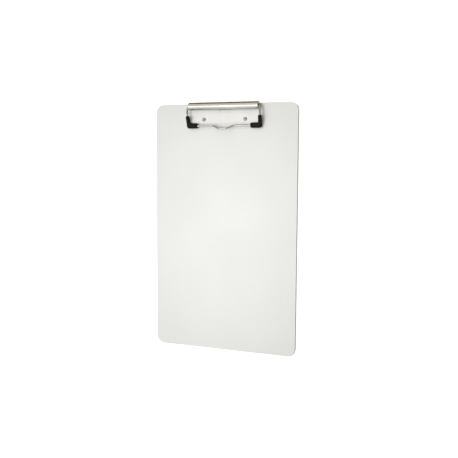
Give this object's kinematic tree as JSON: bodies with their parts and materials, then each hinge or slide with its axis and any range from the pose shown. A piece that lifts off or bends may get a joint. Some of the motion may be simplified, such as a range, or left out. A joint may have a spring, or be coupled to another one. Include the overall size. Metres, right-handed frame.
{
  "type": "clipboard",
  "caption": "Flat writing board with rounded corners and a low-profile sprung wire clip with rubber corner tips at its top edge, holding loose sheets.",
  "frame": {"origin": "on the back of the board, under the middle of the whole outline", "axes": "+X across the board to the right, +Y along the board towards the clip, +Z out of the writing face"},
  "size_m": [0.2414, 0.3955, 0.0132],
  "materials": {
    "board": "satin anodised, pale",
    "clip_plate": "bright nickel plating on sheet steel",
    "wire": "bright nickel plating on steel wire",
    "rubber": "matt black moulded rubber",
    "spring": "bare spring steel wire",
    "rivet": "bright nickel plating"
  },
  "bodies": {
    "base": {"board": "board", "clip_plate": "clip_plate", "rivet_left": "rivet", "rivet_right": "rivet", "torsion_spring_left": "spring", "torsion_spring_right": "spring"},
    "bail": {"wire_bail": "wire", "rubber_tip_left": "rubber", "rubber_tip_right": "rubber"}
  },
  "joints": [
    {"name": "bail_hinge", "type": "hinge", "parent": "base", "child": "bail", "pos_m": [0, 0.19215, 0.0076], "axis": [-1, 0, 0], "range_deg": [0, 90], "stiffness_Nm_per_rad": 0.3, "springref_deg": -68.75, "deforming": ["torsion_spring_left", "torsion_spring_right"]}
  ]
}
